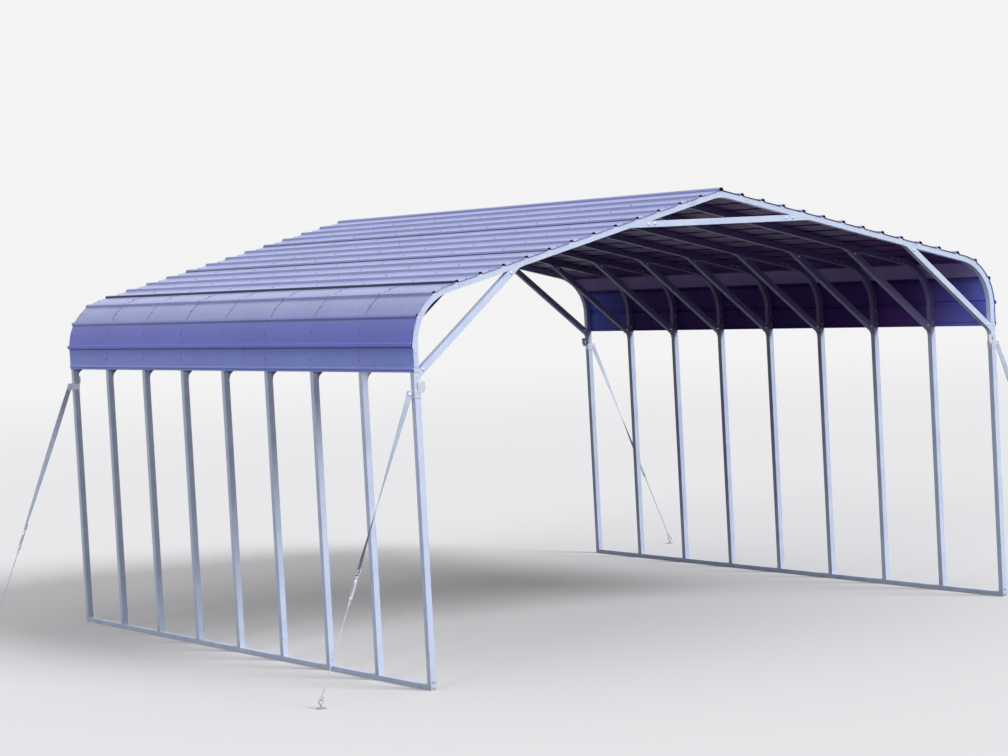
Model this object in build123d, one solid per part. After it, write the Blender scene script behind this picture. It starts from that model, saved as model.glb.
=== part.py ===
from build123d import *
import math
import os

# An open-sided steel carport: nine square-tube frames under ribbed sheets that wrap round the eaves,
# with a guy at each corner. Sizes are in millimetres.
# +Z is up, each frame stands in an XZ plane, the ridge runs along Y and the front is at -Y.
# The origin is on the ground, in the middle of the plan.

# Plan and frame
frame_count = 9
frame_pitch = 756.0  # from one frame's centre plane to the next
half_width = 3050.0  # from the middle to the outer face of the posts
tube = 50.0  # square tube of the posts, eave bends, rafters and collar ties
tube_wall = 1.5
rail_height = 40.0
rail_wall = 2.0
eave_edge_height = 2410.0  # lower edge of the side sheeting, where a post meets its eave bend

# Roof line, along the outer face of the tubes
bend_leg = 200.0  # upright part of an eave bend
bend_radius = 450.0
bend_tail = 100.0  # straight part of an eave bend, past its arc
roof_angle = 13.5
ridge_radius = 450.0
ridge_tail = 200.0  # straight part of a ridge bend, past each end of its arc

# Knee braces and collar ties
brace_tube = 50.0
brace_wall = 1.5
brace_foot_drop = 10.0  # from the eave edge down to the brace's centre line at the post
brace_reach = 920.0  # from the post to where the centre line meets the rafter
brace_tab = 28.0  # how far the lower wall runs on along the post and the rafter
brace_tab_thickness = 3.0
brace_tab_radius = 50.0
collar_drop = 227.0  # from the ridge down to the top of a collar tie

# Ribbed sheets
sheet_thickness = 0.5
sheet_seat = 0.3  # gap between the tubes and the sheets
sheet_overhang = 10.0
rib_height = 19.0
rib_base = 44.0
rib_crest = 20.0
ribs_per_sheet = 4
roof_sheets = ("upper", "middle", "lower")
lap_gap = 0.2  # between two lapped sheets
corner_run = 82.0  # from the crest where a corner sheet starts, down the slope to the eave bend's arc
edge_flat = 80.0  # least distance from the last rib to the eave edge
bead_rise = 26.0  # from the eave edge up to the middle of the stiffening bead
bead_height = 7.0
bead_base = 24.0
bead_crest = 8.0
panel_lap = 30.0  # of two corner sheets, over a frame

# Ridge cap
ridge_gap = 12.0  # from the ridge to the uppermost sheet
cap_flange = 185.0
roll_half = 22.0
roll_height = 20.0

# Guys
guy_drop = 164.0  # from the eave edge down to the middle of a clamp
guy_reach = 950.0  # from the post's outer face to the ground anchor
clamp_height = 60.0
clamp_wall = 3.0
clamp_fit = 0.3
clamp_ear = (38.0, 5.0, 84.0)  # past the inner side of the band, through the plate, and upright
ear_rise = 52.0  # from the middle of the clamp to the middle of its ear
ear_chamfer = 15.0
ear_slot = (34.0, 12.0)
slot_inset = 22.0  # from the post's middle to the middle of the slot
lug = (56.0, 6.0, 64.0)
lug_corner = 20.0
lug_hole_radius = 7.0
strap_width = 45.0
strap_thickness = 2.5
strap_length = 1420.0
strap_start = 24.0  # how far a strap reaches above the hole in its lug
strap_flat = 90.0  # untwisted stretch at each end of a strap
strap_steps = 24
buckle_plate = (45.0, 5.0, 70.0)  # along Y, through the plate, and along the guy
buckle_lip = 12.0  # how far the plate reaches past the strap
buckle_neck = 30.0
buckle_boss_radius = 13.0
buckle_boss_length = 20.0
buckle_body_length = 150.0
buckle_bar = (6.0, 14.0)
buckle_stud_radius = 6.0
buckle_stud_reach = 22.0  # how far a threaded rod comes into the open body
cable_radius = 4.0
cable_eye_radius = 14.0
anchor_eye_radius = 18.0
anchor_wire_radius = 5.0
anchor_stem_radius = 7.0
anchor_stem_height = 34.0
anchor_plate_radius = 40.0
anchor_plate_height = 5.0
wire_sides = 8
link_gap = 0.3

# Worked out from the sizes above; a distance along the roof line is measured from the ridge
angle = math.radians(roof_angle)
slope_along = (math.cos(angle), -math.sin(angle))
slope_out = (math.sin(angle), math.cos(angle))
arc_x = half_width - bend_radius
arc_z = eave_edge_height + bend_leg
slope_length = (arc_x + bend_radius * math.sin(angle)) / math.cos(angle)
arc_length = bend_radius * (math.pi / 2 - angle)
girth = slope_length + arc_length + bend_leg
eave_bend_start = slope_length - bend_tail
ridge_z = arc_z + bend_radius * math.cos(angle) + slope_length * math.sin(angle)
ridge_tangent = ridge_radius * math.tan(angle)
ridge_crown_z = ridge_z - ridge_radius * (1 / math.cos(angle) - 1)
ridge_bend_end = ridge_tangent + ridge_tail
post_inside = half_width - tube
frame_ys = [(i - (frame_count - 1) / 2) * frame_pitch for i in range(frame_count)]
frame_end = frame_ys[-1] + tube / 2
sheet_end = frame_end + sheet_overhang
first_corner_rib = len(roof_sheets) * ribs_per_sheet
rib_pitch = (slope_length - corner_run) / first_corner_rib
lap_lift = sheet_thickness + lap_gap


def at(s, h):
    """Point of the roof line in the XZ plane: s along it from the ridge, h outside the tubes."""
    if s <= slope_length:
        x = s * slope_along[0] + h * slope_out[0]
        z = ridge_z + s * slope_along[1] + h * slope_out[1]
    elif s <= slope_length + arc_length:
        turn = math.pi / 2 - angle - (s - slope_length) / bend_radius
        x = arc_x + (bend_radius + h) * math.cos(turn)
        z = arc_z + (bend_radius + h) * math.sin(turn)
    else:
        x = half_width + h
        z = arc_z - (s - slope_length - arc_length)
    return Vector(x, 0, z)


def edges_along(points):
    """Edges through (s, h) points, with true arcs where a level stretch follows the eave bend."""
    arc_from, arc_to = slope_length, slope_length + arc_length
    edges = []
    for (s0, h0), (s1, h1) in zip(points, points[1:]):
        if h0 != h1:
            edges.append(Line(at(s0, h0), at(s1, h1)))
            continue
        stops = [s0] + [s for s in (arc_from, arc_to) if s0 < s < s1] + [s1]
        for a, b in zip(stops, stops[1:]):
            if arc_from <= a and b <= arc_to:
                edges.append(ThreePointArc(at(a, h0), at((a + b) / 2, h0), at(b, h0)))
            else:
                edges.append(Line(at(a, h0), at(b, h0)))
    return edges


def strip(inner, outer):
    """Face between two paths of (s, h) points."""
    ends = [Line(at(*inner[0]), at(*outer[0])), Line(at(*inner[-1]), at(*outer[-1]))]
    return Face(Wire(edges_along(inner) + edges_along(outer) + ends))


def mirrored(point):
    return Vector(-point.X, 0, point.Z)


def over_ridge(lower, upper):
    """Face between two paths over the ridge, each given by its right-hand end, its arc's foot and crown."""
    edges = [Line(lower[0], upper[0]), Line(mirrored(lower[0]), mirrored(upper[0]))]
    for end, foot, crown in (lower, upper):
        edges.append(ThreePointArc(foot, crown, mirrored(foot)))
        edges += [Line(end, foot), Line(mirrored(foot), mirrored(end))]
    return Face(Wire(edges))


def polygon(points):
    return Face(Wire(Polyline(*[Vector(x, 0, z) for x, z in points], close=True)))


def slab(face, y_from, y_to):
    """Solid between two planes across Y, from a face in the XZ plane."""
    return Pos(0, y_from, 0) * extrude(face, amount=y_to - y_from, dir=(0, 1, 0))


def square_tube(outer, cavity, y, width, wall):
    """Tube of a frame, from the side views of its outside and of its cavity."""
    half = width / 2
    return slab(outer, y - half, y + half) - slab(cavity, y - half + wall, y + half - wall)


def left_of(shape):
    return mirror(shape, about=Plane.YZ)


def write(name, *solids):
    shape = solids[0] if len(solids) == 1 else Compound(children=list(solids))
    export_step(shape, f"parts/{name}.step")


def write_sides(name, solids):
    """Write a right-hand node and its mirror image on the left."""
    write(f"{name}_right", *solids)
    write(f"{name}_left", *[left_of(solid) for solid in solids])


# Base rails and posts
def base_rail():
    rail_end = frame_ys[-1] - tube / 2
    section = Rectangle(tube, rail_height) - Rectangle(tube - 2 * rail_wall, rail_height - 2 * rail_wall)
    rail = extrude(Plane.XZ * section, amount=rail_end, both=True)
    return Pos(half_width - tube / 2, 0, rail_height / 2) * rail


def post(y):
    """The end posts stand on the ground, and the others on the base rail."""
    foot = 0.0 if abs(y) == frame_ys[-1] else rail_height
    section = Rectangle(tube, tube) - Rectangle(tube - 2 * tube_wall, tube - 2 * tube_wall)
    return Pos(half_width - tube / 2, y, foot) * extrude(section, amount=eave_edge_height - foot)


# Roof tubes
def roof_tube(y, start, end):
    """Tube of a frame along the roof line."""
    def side_view(inset):
        return strip([(start, inset - tube), (end, inset - tube)], [(start, -inset), (end, -inset)])

    return square_tube(side_view(0), side_view(tube_wall), y, tube, tube_wall)


def eave_bend(y):
    return roof_tube(y, eave_bend_start, girth)


def rafter(y):
    return roof_tube(y, ridge_bend_end, eave_bend_start)


def ridge_bend(y):
    """Tube over the ridge: an arc between two straight tails that meet the rafters."""
    def path(inset):
        return at(ridge_bend_end, -inset), at(ridge_tangent, -inset), Vector(0, 0, ridge_crown_z - inset)

    cavity = over_ridge(path(tube - tube_wall), path(tube_wall))
    return square_tube(over_ridge(path(tube), path(0)), cavity, y, tube, tube_wall)


def under_rafter(x):
    """Height of the underside of a rafter."""
    return ridge_z - tube / math.cos(angle) - x * math.tan(angle)


def knee_brace(y):
    """Straight tube from the post to the rafter, whose lower wall runs on as a bent tab at each end."""
    foot_z = eave_edge_height - brace_foot_drop
    head_x = post_inside - brace_reach
    rise = (under_rafter(head_x) - foot_z) / brace_reach
    lean = math.hypot(1, rise)

    def reach(level, clear):
        """Distance from the post at which an edge of the brace comes within clear of the rafter."""
        return (under_rafter(post_inside) - clear - level) / (rise - math.tan(angle))

    def edge(side, inset, clear=0.0):
        level = foot_z + side * (brace_tube / 2 - inset) * lean
        out = reach(level, clear)
        return [(post_inside, level), (post_inside - out, level + out * rise)]

    lower_foot, lower_head = edge(-1, 0, brace_tab_thickness / math.cos(angle))
    upper_foot, upper_head = edge(1, 0)
    bend = (post_inside - brace_tab_thickness, lower_foot[1] + brace_tab_thickness * rise)
    tab_end_x = lower_head[0] - brace_tab * math.cos(angle)
    outline = polygon([
        upper_foot,
        (post_inside, bend[1] - brace_tab),
        (bend[0], bend[1] - brace_tab),
        bend,
        lower_head,
        (tab_end_x, lower_head[1] + brace_tab * math.sin(angle)),
        (tab_end_x, under_rafter(tab_end_x)),
        upper_head,
    ])
    bends = [outline.vertices().sort_by_distance((x, 0, z))[0] for x, z in (bend, lower_head)]
    cavity = polygon(edge(-1, brace_wall) + edge(1, brace_wall)[::-1])
    return square_tube(outline.fillet_2d(brace_tab_radius, bends), cavity, y, brace_tube, brace_wall)


def collar_tie(y):
    """Level tube between the two rafters of an end frame."""
    top = ridge_z - collar_drop

    def side_view(inset):
        points = []
        for z in (top - inset, top - tube + inset):
            x = (under_rafter(0) - z) / math.tan(angle)
            points += [(-x, z), (x, z)] if not points else [(x, z), (-x, z)]
        return polygon(points)

    return square_tube(side_view(0), side_view(tube_wall), y, tube, tube_wall)


# Sheets
def fold(s, height, base, crest, lift):
    """The (s, h) points of a fold in a sheet that is centred on s, with its feet at lift above the seat."""
    spread = lift * math.tan(math.atan2(height, (base - crest) / 2) / 2)
    foot, top = sheet_seat + lift, sheet_seat + lift + height
    half_base, half_crest = base / 2 + spread, crest / 2 + spread
    return [(s - half_base, foot), (s - half_crest, top), (s + half_crest, top), (s + half_base, foot)]


def rib(k, lift):
    """Rib number k, counted from the ridge."""
    return fold(k * rib_pitch, rib_height, rib_base, rib_crest, lift)


def roof_sheet(number):
    """Flat sheet that starts under its upper neighbour's last rib and ends over its lower neighbour's."""
    first = number * ribs_per_sheet
    last = first + ribs_per_sheet
    layers = 1 if last < first_corner_rib else 2

    def path(lift):
        points = rib(first, lift)[1:] if first else [(ridge_gap, sheet_seat + lift)]
        for k in range(first + 1, last):
            points += rib(k, lift)
        return points + rib(last, lift)[:1] + rib(last, lift + layers * lap_lift)[1:]

    return slab(strip(path(0), path(sheet_thickness)), -sheet_end, sheet_end)


def corner_sheets():
    """One curved sheet to each bay, down to the eave edge; every second one laps over its neighbours."""
    last = int((girth - edge_flat) / rib_pitch)

    def path(lift):
        points = rib(first_corner_rib, lift)[1:]
        for k in range(first_corner_rib + 1, last + 1):
            points += rib(k, lift)
        points += fold(girth - bead_rise, bead_height, bead_base, bead_crest, lift)
        return points + [(girth, sheet_seat + lift)]

    stops = [-sheet_end + panel_lap / 2] + frame_ys[1:-1] + [sheet_end - panel_lap / 2]
    sheets = []
    for bay, (y_from, y_to) in enumerate(zip(stops, stops[1:])):
        lift = bay % 2 * lap_lift
        section = strip(path(lift), path(lift + sheet_thickness))
        sheets.append(slab(section, y_from - panel_lap / 2, y_to + panel_lap / 2))
    return sheets


def ridge_cap():
    """Two flanges on the uppermost sheets, with a roll between them that is open at its ends."""
    def path(lift):
        h = sheet_seat + lap_lift + lift
        return at(cap_flange, h), at(roll_half + lift, h), Vector(0, 0, ridge_z + h + roll_height)

    return slab(over_ridge(path(0), path(sheet_thickness)), -sheet_end, sheet_end)


# Guys, made at the right-hand end of the front frame and copied to the other corners
guy_y = -frame_ys[-1]
guy_height = eave_edge_height - guy_drop
lug_x = half_width + clamp_fit + clamp_wall + lug[0] / 2
anchor_eye_z = anchor_stem_height + anchor_eye_radius
guy_side = guy_y - (lug[1] + strap_thickness) / 2
guy_top = Vector(lug_x, guy_side, guy_height)
guy_foot = Vector(half_width + guy_reach, guy_side, anchor_eye_z)
guy_length = (guy_foot - guy_top).length
guy_frame = Plane(origin=guy_top, x_dir=(0, 1, 0), z_dir=(guy_foot - guy_top))
buckle_from = strap_length + buckle_neck
buckle_end = buckle_from + buckle_body_length + buckle_neck
link_at = guy_length - anchor_eye_radius + anchor_wire_radius + link_gap + cable_radius
cable_eye_at = link_at - cable_eye_radius


def rod(radius, start, end):
    return Pos(0, 0, start) * Cylinder(radius, end - start, align=(Align.CENTER, Align.CENTER, Align.MIN))


def eye(radius, wire_radius):
    """Ring about the Y axis, of many-sided wire with a flat towards its middle."""
    section = RegularPolygon(wire_radius, wire_sides, rotation=180 / wire_sides)
    return revolve(Pos(radius, 0, 0) * section, axis=Axis.Y)


def guy_clamp():
    """Band round the post, with a slotted ear across its outward face and a lug for the strap at its side."""
    bore = tube + 2 * clamp_fit
    outside = bore + 2 * clamp_wall
    middle = half_width - tube / 2
    reach, thickness, height = clamp_ear
    ear_tip, ear_z, ear_y = middle - outside / 2 - reach, guy_height + ear_rise, guy_y - outside / 2
    outline = polygon([
        (middle, ear_z - height / 2),
        (middle, ear_z + height / 2),
        (ear_tip, ear_z + height / 2),
        (ear_tip, ear_z - height / 2 + 2 * ear_chamfer),
        (ear_tip + ear_chamfer, ear_z - height / 2),
    ])
    slot = extrude(Rot(0, 0, 90) * SlotOverall(*ear_slot), amount=2 * thickness, both=True)
    ear = slab(outline, ear_y - thickness, ear_y)
    ear -= Pos(middle - slot_inset, ear_y, ear_z) * Rot(90, 0, 0) * slot
    band = extrude(Rectangle(outside, outside) - Rectangle(bore, bore), amount=clamp_height / 2, both=True)
    plate = Pos(lug_x, guy_y, guy_height) * Box(*lug)
    plate = fillet(plate.edges().filter_by(Axis.Y).sort_by(Axis.X)[-2:], lug_corner)
    hole = Pos(lug_x, guy_y, guy_height) * Rot(90, 0, 0) * Cylinder(lug_hole_radius, lug[1])
    return Pos(middle, guy_y, guy_height) * band + ear + plate - hole


def faceted(sections):
    """Solid through four-cornered sections, in flat facets whose diagonals agree on opposite sides."""
    faces = [Face(Wire(Polyline(*section, close=True))) for section in (sections[0], sections[-1])]
    for near, far in zip(sections, sections[1:]):
        for a, b in ((0, 1), (1, 2), (3, 2), (0, 3)):
            for corners in ((near[a], near[b], far[b]), (near[a], far[b], far[a])):
                faces.append(Face(Wire(Polyline(*corners, close=True))))
    return Solid(Shell(faces))


def guy_strap():
    """Flat strap with a quarter turn in it, from the face of the lug to the face of the turnbuckle plate."""
    twist_from, twist_to = strap_flat - strap_start, strap_length - strap_flat
    stops = [(-strap_start, 0)]
    for i in range(strap_steps + 1):
        share = i / strap_steps
        stops.append((twist_from + share * (twist_to - twist_from), 90 * share))
    stops.append((strap_length, 90))
    flat, edge = strap_thickness / 2, strap_width / 2
    outline = [(-flat, -edge), (-flat, edge), (flat, edge), (flat, -edge)]
    sections = [[Vector(x, y, height).rotate(Axis.Z, turn) for x, y in outline] for height, turn in stops]
    aside = (strap_thickness + buckle_plate[1]) / 2
    return guy_frame * Pos(0, aside, 0) * faceted(sections)


def turnbuckle():
    """Plate behind the strap's end, and an open body between two threaded rods."""
    plate_at = strap_length + buckle_lip - buckle_plate[2] / 2
    body_end = buckle_from + buckle_body_length
    stud_gap_from = buckle_from + buckle_boss_length + buckle_stud_reach
    stud_gap_to = body_end - buckle_boss_length - buckle_stud_reach
    bar_at = buckle_boss_radius - buckle_bar[0] / 2
    shape = Pos(0, 0, plate_at) * Box(*buckle_plate)
    shape += rod(buckle_stud_radius, strap_length + link_gap, stud_gap_from)
    shape += rod(buckle_stud_radius, stud_gap_to, buckle_end)
    shape += rod(buckle_boss_radius, buckle_from, buckle_from + buckle_boss_length)
    shape += rod(buckle_boss_radius, body_end - buckle_boss_length, body_end)
    for side in (-1, 1):
        bar = Box(*buckle_bar, buckle_body_length)
        shape += Pos(side * bar_at, 0, (buckle_from + body_end) / 2) * bar
    return guy_frame * shape


def guy_cable():
    """Wire cable from the turnbuckle to an eye that is linked through the anchor's."""
    cable = rod(cable_radius, buckle_end, cable_eye_at - cable_eye_radius)
    return guy_frame * (cable + Pos(0, 0, cable_eye_at) * eye(cable_eye_radius, cable_radius))


def ground_anchor():
    plate = rod(anchor_plate_radius, 0, anchor_plate_height)
    stem = rod(anchor_stem_radius, 0, anchor_stem_height)
    ring = Pos(0, 0, anchor_eye_z) * eye(anchor_eye_radius, anchor_wire_radius)
    return Pos(guy_foot.X, guy_foot.Y, 0) * (plate + stem + ring)


def at_corners(solid):
    front = [solid, left_of(solid)]
    return front + [mirror(shape, about=Plane.XZ) for shape in front]


os.makedirs("parts", exist_ok=True)
write_sides("base_rail", [base_rail()])
write_sides("posts", [post(y) for y in frame_ys])
write_sides("eave_bends", [eave_bend(y) for y in frame_ys])
write_sides("rafters", [rafter(y) for y in frame_ys])
write("ridge_bends", *[ridge_bend(y) for y in frame_ys])
write_sides("knee_braces", [knee_brace(y) for y in frame_ys])
write("collar_tie_front", collar_tie(frame_ys[0]))
write("collar_tie_back", collar_tie(frame_ys[-1]))
for number, name in enumerate(roof_sheets):
    write_sides(f"roof_sheet_{name}", [roof_sheet(number)])
write_sides("corner_sheets", corner_sheets())
write("ridge_cap", ridge_cap())
write("guy_clamps", *at_corners(guy_clamp()))
write("guy_straps", *at_corners(guy_strap()))
write("turnbuckles", *at_corners(turnbuckle()))
write("guy_cables", *at_corners(guy_cable()))
write("ground_anchors", *at_corners(ground_anchor()))
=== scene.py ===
"""Looks of an open-sided steel carport with curved eaves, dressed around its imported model.

Lengths are in metres. +Z is up, each frame stands in an XZ plane, the ridge runs along Y and the front
is at -Y. Colours are written as they look on a screen.
"""

import logging
import math
from collections.abc import Iterable, Iterator, Sequence
from dataclasses import dataclass
from enum import Enum

import bmesh
import bpy
import numpy as np
from mathutils import Matrix, Vector


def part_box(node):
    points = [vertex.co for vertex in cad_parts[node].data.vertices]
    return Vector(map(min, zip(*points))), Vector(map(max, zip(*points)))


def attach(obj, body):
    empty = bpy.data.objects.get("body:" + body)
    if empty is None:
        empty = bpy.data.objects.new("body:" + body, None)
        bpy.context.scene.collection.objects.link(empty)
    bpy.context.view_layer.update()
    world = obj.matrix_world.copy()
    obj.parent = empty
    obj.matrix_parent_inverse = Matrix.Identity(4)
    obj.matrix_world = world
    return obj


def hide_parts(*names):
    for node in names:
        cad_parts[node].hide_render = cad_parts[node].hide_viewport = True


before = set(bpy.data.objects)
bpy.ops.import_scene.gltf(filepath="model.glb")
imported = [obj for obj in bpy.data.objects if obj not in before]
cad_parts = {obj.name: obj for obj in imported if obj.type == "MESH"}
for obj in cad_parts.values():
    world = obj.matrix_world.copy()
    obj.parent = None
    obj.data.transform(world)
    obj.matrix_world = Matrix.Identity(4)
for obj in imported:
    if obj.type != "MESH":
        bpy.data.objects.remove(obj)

log = logging.getLogger("carport")

Colour = tuple[float, float, float]
Point = tuple[float, float, float]
Span = tuple[float, float]
Socket = bpy.types.NodeSocket
Sockets = dict[str, Socket]
Value = float | Sequence[float] | Socket

BODY = "root"
SIDES = {"right": 1, "left": -1}
WHITE: Colour = (1.0, 1.0, 1.0)


def linear(colour: Sequence[float]) -> tuple[float, ...]:
    """Turn a colour as it looks on a screen into the renderer's own values, with full alpha."""
    return (*(((c + 0.055) / 1.055) ** 2.4 if c > 0.04045 else c / 12.92 for c in colour), 1.0)


# Node trees


class Graph:
    """A node tree that is filled by short calls."""

    def __init__(self, tree: bpy.types.NodeTree) -> None:
        """Take over an empty node tree."""
        self.tree = tree

    def put(self, socket: Socket, value: Value) -> None:
        """Link an output to a socket, or set the socket's own value.

        Args:
            socket: Input that is fed.
            value: Output or plain value; a colour is given as it looks on a screen.
        """
        if isinstance(value, Socket):
            self.tree.links.new(value, socket)
        else:
            socket.default_value = linear(value) if socket.type == "RGBA" else value

    def add(self, kind: str, inputs: dict[str | int, Value] | None = None,
            **settings: object) -> bpy.types.Node:
        """Add a node.

        Args:
            kind: Type of the node, without the ShaderNode before it.
            inputs: Value or output for each input that is set, by name or place.
            settings: Properties of the node.

        Returns:
            The new node.
        """
        node = self.tree.nodes.new(f"ShaderNode{kind}")
        for name, value in settings.items():
            setattr(node, name, value)
        for key, value in (inputs or {}).items():
            self.put(node.inputs[key], value)
        return node

    def math(self, operation: str, *values: Value) -> Socket:
        """Work out a number from others."""
        return self.add("Math", dict(enumerate(values)), operation=operation).outputs[0]

    def times(self, a: Value, b: Value) -> Socket:
        """Multiply two numbers."""
        return self.math("MULTIPLY", a, b)

    def weighed(self, value: Value, weight: Value, base: Value) -> Socket:
        """Add a number, multiplied by its weight, to another."""
        return self.math("MULTIPLY_ADD", value, weight, base)

    def vector(self, operation: str, *values: Value) -> Socket:
        """Work out a vector from others."""
        return self.add("VectorMath", dict(enumerate(values)), operation=operation).outputs["Vector"]

    def dot(self, a: Value, b: Value) -> Socket:
        """Scalar product of two vectors."""
        return self.add("VectorMath", {0: a, 1: b}, operation="DOT_PRODUCT").outputs["Value"]

    def scaled(self, vector: Value, factor: Value) -> Socket:
        """Multiply a vector by a number."""
        return self.add("VectorMath", {0: vector, "Scale": factor}, operation="SCALE").outputs["Vector"]

    def part(self, vector: Value, axis: str) -> Socket:
        """One component of a vector."""
        return self.add("SeparateXYZ", {0: vector}).outputs[axis]

    def mix(self, factor: Value, a: Value, b: Value) -> Socket:
        """Mix two colours, from a at 0 to b at 1."""
        return self.add("Mix", {0: factor, 6: a, 7: b}, data_type="RGBA").outputs[2]

    def ramp(self, value: Value, start: Value, end: Value, low: float = 0.0, high: float = 1.0) -> Socket:
        """Ease a number from low at start to high at end."""
        inputs = {"Value": value, "From Min": start, "From Max": end, "To Min": low, "To Max": high}
        return self.add("MapRange", inputs, interpolation_type="SMOOTHSTEP").outputs["Result"]

    def noise(self, position: Value, scale: Value, detail: float = 3.0) -> Socket:
        """Cloudy noise, mostly from 0.3 to 0.7."""
        return self.add("TexNoise", {"Vector": position, "Scale": scale, "Detail": detail}).outputs[0]

    def place(self) -> Socket:
        """Place on the object, in metres."""
        return self.add("TexCoord").outputs["Object"]

    def normal(self) -> Socket:
        """Normal of the surface."""
        return self.add("NewGeometry").outputs["Normal"]

    def from_middle(self) -> Socket:
        """Distance along the ridge from the middle of the carport."""
        return self.math("ABSOLUTE", self.part(self.place(), "Y"))


class Effect(Enum):
    """Surface effects that several finishes share, each a node group of this name."""

    MOTTLE = "Mottle"
    DRAWN = "Drawn Lines"
    GRIME = "Grime"
    EDGE = "Worn Edge"


def mottle(g: Graph, given: Sockets) -> Sockets:
    """Soft clouds with small crystals in them, as on zinc.

    Args:
        g: Node group that is filled.
        given: The group's inputs, by name.

    Returns:
        The mottled colour and its mask.
    """
    place = g.place()
    clouds = g.ramp(g.noise(place, given["Scale"]), 0.35, 0.65)
    crystal = g.add("TexVoronoi", {"Vector": place, "Scale": g.times(given["Scale"], 14.0)})
    level = g.add("SeparateColor", {0: crystal.outputs["Color"]}).outputs[0]
    mask = g.times(g.weighed(level, 0.45, g.times(clouds, 0.6)), given["Amount"])
    return {"Color": g.mix(mask, given["Color"], given["Tint"]), "Mask": mask}


def drawn_lines(g: Graph, given: Sockets) -> Sockets:
    """Fine lines along one direction, left by rolls and dies.

    Args:
        g: Node group that is filled.
        given: The group's inputs, by name.

    Returns:
        The height of the lines, from 0 to 1.
    """
    place, direction = g.place(), given["Direction"]
    along = g.scaled(direction, g.dot(place, direction))
    pattern = g.vector("ADD", g.vector("SUBTRACT", place, along), g.scaled(along, 0.015))
    return {"Height": g.noise(pattern, g.math("DIVIDE", 1.0, given["Spacing"]), 2.0)}


def grime(g: Graph, given: Sockets) -> Sockets:
    """Dirt that splashes up from the ground and runs down in faint streaks.

    Args:
        g: Node group that is filled.
        given: The group's inputs, by name.

    Returns:
        The dirty colour and its mask.
    """
    place = g.place()
    splash = g.ramp(g.part(place, "Z"), given["Reach"], 0.0)
    patches = g.ramp(g.noise(place, 7.0, 3.0), 0.2, 0.8, 0.3, 1.0)
    runs = g.ramp(g.noise(g.vector("MULTIPLY", place, (34.0, 34.0, 1.3)), 1.0, 3.0), 0.56, 0.78)
    mask = g.times(g.weighed(splash, patches, g.times(runs, 0.3)), given["Amount"])
    return {"Color": g.mix(mask, given["Color"], given["Dirt"]), "Mask": mask}


def worn_edge(g: Graph, given: Sockets) -> Sockets:
    """Edges that are rounded, and rubbed brighter than the faces.

    Args:
        g: Node group that is filled.
        given: The group's inputs, by name.

    Returns:
        The rubbed colour, its mask and the rounded normal.
    """
    rounded = g.add("Bevel", {"Radius": given["Radius"]}, samples=6).outputs[0]
    turned = g.math("SUBTRACT", 1.0, g.dot(rounded, g.normal()))
    rubbed = g.ramp(g.noise(g.place(), 60.0), 0.3, 0.6)
    mask = g.times(g.times(g.ramp(turned, 0.02, 0.2), rubbed), given["Amount"])
    return {"Color": g.mix(mask, given["Color"], given["Bare"]), "Mask": mask, "Normal": rounded}


EFFECTS = {
    Effect.MOTTLE: (mottle, ("Color", "Tint", "Scale", "Amount"), ("Color", "Mask")),
    Effect.DRAWN: (drawn_lines, ("Direction", "Spacing"), ("Height",)),
    Effect.GRIME: (grime, ("Color", "Dirt", "Reach", "Amount"), ("Color", "Mask")),
    Effect.EDGE: (worn_edge, ("Color", "Bare", "Radius", "Amount"), ("Color", "Mask", "Normal")),
}

SOCKET_KINDS = {"Color": "Color", "Tint": "Color", "Dirt": "Color", "Bare": "Color",
                "Direction": "Vector", "Normal": "Vector"}


def effect_group(effect: Effect) -> bpy.types.NodeTree:
    """Give the node group of an effect, which is built the first time it is asked for.

    Args:
        effect: The effect.

    Returns:
        Its node group.
    """
    found = bpy.data.node_groups.get(effect.value)
    if found:
        return found
    group = bpy.data.node_groups.new(effect.value, "ShaderNodeTree")
    maker, inputs, outputs = EFFECTS[effect]
    for way, names in (("INPUT", inputs), ("OUTPUT", outputs)):
        for name in names:
            kind = f"NodeSocket{SOCKET_KINDS.get(name, 'Float')}"
            group.interface.new_socket(name=name, in_out=way, socket_type=kind)
    results = maker(Graph(group), dict(group.nodes.new("NodeGroupInput").outputs.items()))
    out = group.nodes.new("NodeGroupOutput")
    for name, socket in results.items():
        group.links.new(socket, out.inputs[name])
    return group


class Surface(Graph):
    """A new material that ends in one Principled shader."""

    def __init__(self, name: str, **constants: Value) -> None:
        """Make the material.

        Args:
            name: Name of the material.
            constants: Shader inputs that are the same all over, with underscores for spaces.
        """
        self.material = bpy.data.materials.new(name)
        self.material.use_nodes = True
        super().__init__(self.material.node_tree)
        self.shader = self.tree.nodes["Principled BSDF"]
        for key, value in constants.items():
            self.shader.inputs[key.replace("_", " ")].default_value = value

    def effect(self, effect: Effect, **inputs: Value) -> Sockets:
        """Place an effect's group in the material.

        Args:
            effect: The effect.
            inputs: Output or plain value for each of the group's inputs, by name.

        Returns:
            The group's outputs, by name.
        """
        node = self.tree.nodes.new("ShaderNodeGroup")
        node.node_tree = effect_group(effect)
        for name, value in inputs.items():
            self.put(node.inputs[name], value)
        return dict(node.outputs.items())

    def finish(self, colour: Value, roughness: Value, height: Value | None = None, depth: float = 0.0,
               normal: Value | None = None) -> bpy.types.Material:
        """Feed the shader.

        Args:
            colour: Base colour.
            roughness: Roughness.
            height: Pattern of the surface's relief, from 0 to 1.
            depth: How deep the relief is.
            normal: Normal that the relief lies on.

        Returns:
            The finished material.
        """
        self.put(self.shader.inputs["Base Color"], colour)
        self.put(self.shader.inputs["Roughness"], roughness)
        if height is not None:
            relief = self.add("Bump", {"Height": height, "Distance": depth, "Strength": 1.0})
            if normal is not None:
                self.put(relief.inputs["Normal"], normal)
            normal = relief.outputs[0]
        if normal is not None:
            self.put(self.shader.inputs["Normal"], normal)
        return self.material


# Finishes


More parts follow.
